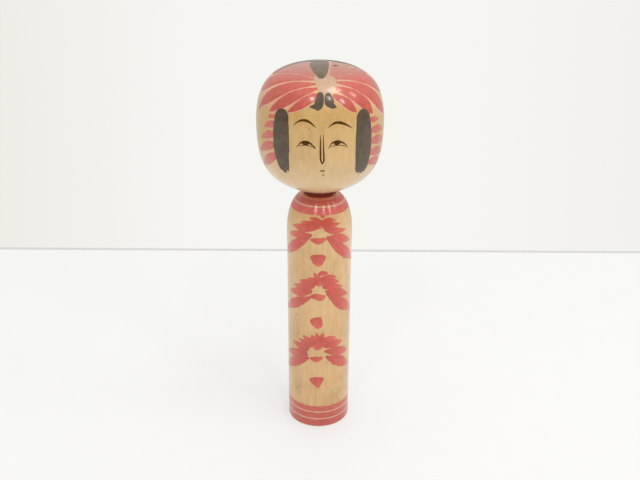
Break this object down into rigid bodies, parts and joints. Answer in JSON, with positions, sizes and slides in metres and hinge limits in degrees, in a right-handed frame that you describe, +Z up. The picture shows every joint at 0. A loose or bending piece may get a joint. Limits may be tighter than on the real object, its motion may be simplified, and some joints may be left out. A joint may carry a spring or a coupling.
{
  "type": "kokeshi doll",
  "caption": "Turned wooden kokeshi doll: a large rounded head on a spigot that twists in a straight round-shouldered body; stands on its flat base.",
  "frame": {"origin": "centre of the flat base, on the turning axis", "axes": "+Z up along the turning axis, -Y is the doll's front (the face), +X is to the right of someone who looks at the face"},
  "size_m": [0.0956, 0.0956, 0.303],
  "materials": {
    "body_wood": "pale close-grained wood, waxed and aged, satin",
    "head_wood": "pale close-grained wood, waxed and aged, gloss on the crown",
    "red_dye": "translucent red dye brushed on the wood, under wax",
    "black_ink": "black ink brushed on the wood, under wax"
  },
  "bodies": {
    "body": {"body": "body_wood"},
    "head": {"head": "head_wood"}
  },
  "joints": [
    {"name": "head_turn", "type": "hinge", "parent": "body", "child": "head", "pos_m": [0, 0, 0.2029], "axis": [0, 0, 1], "continuous": true}
  ]
}
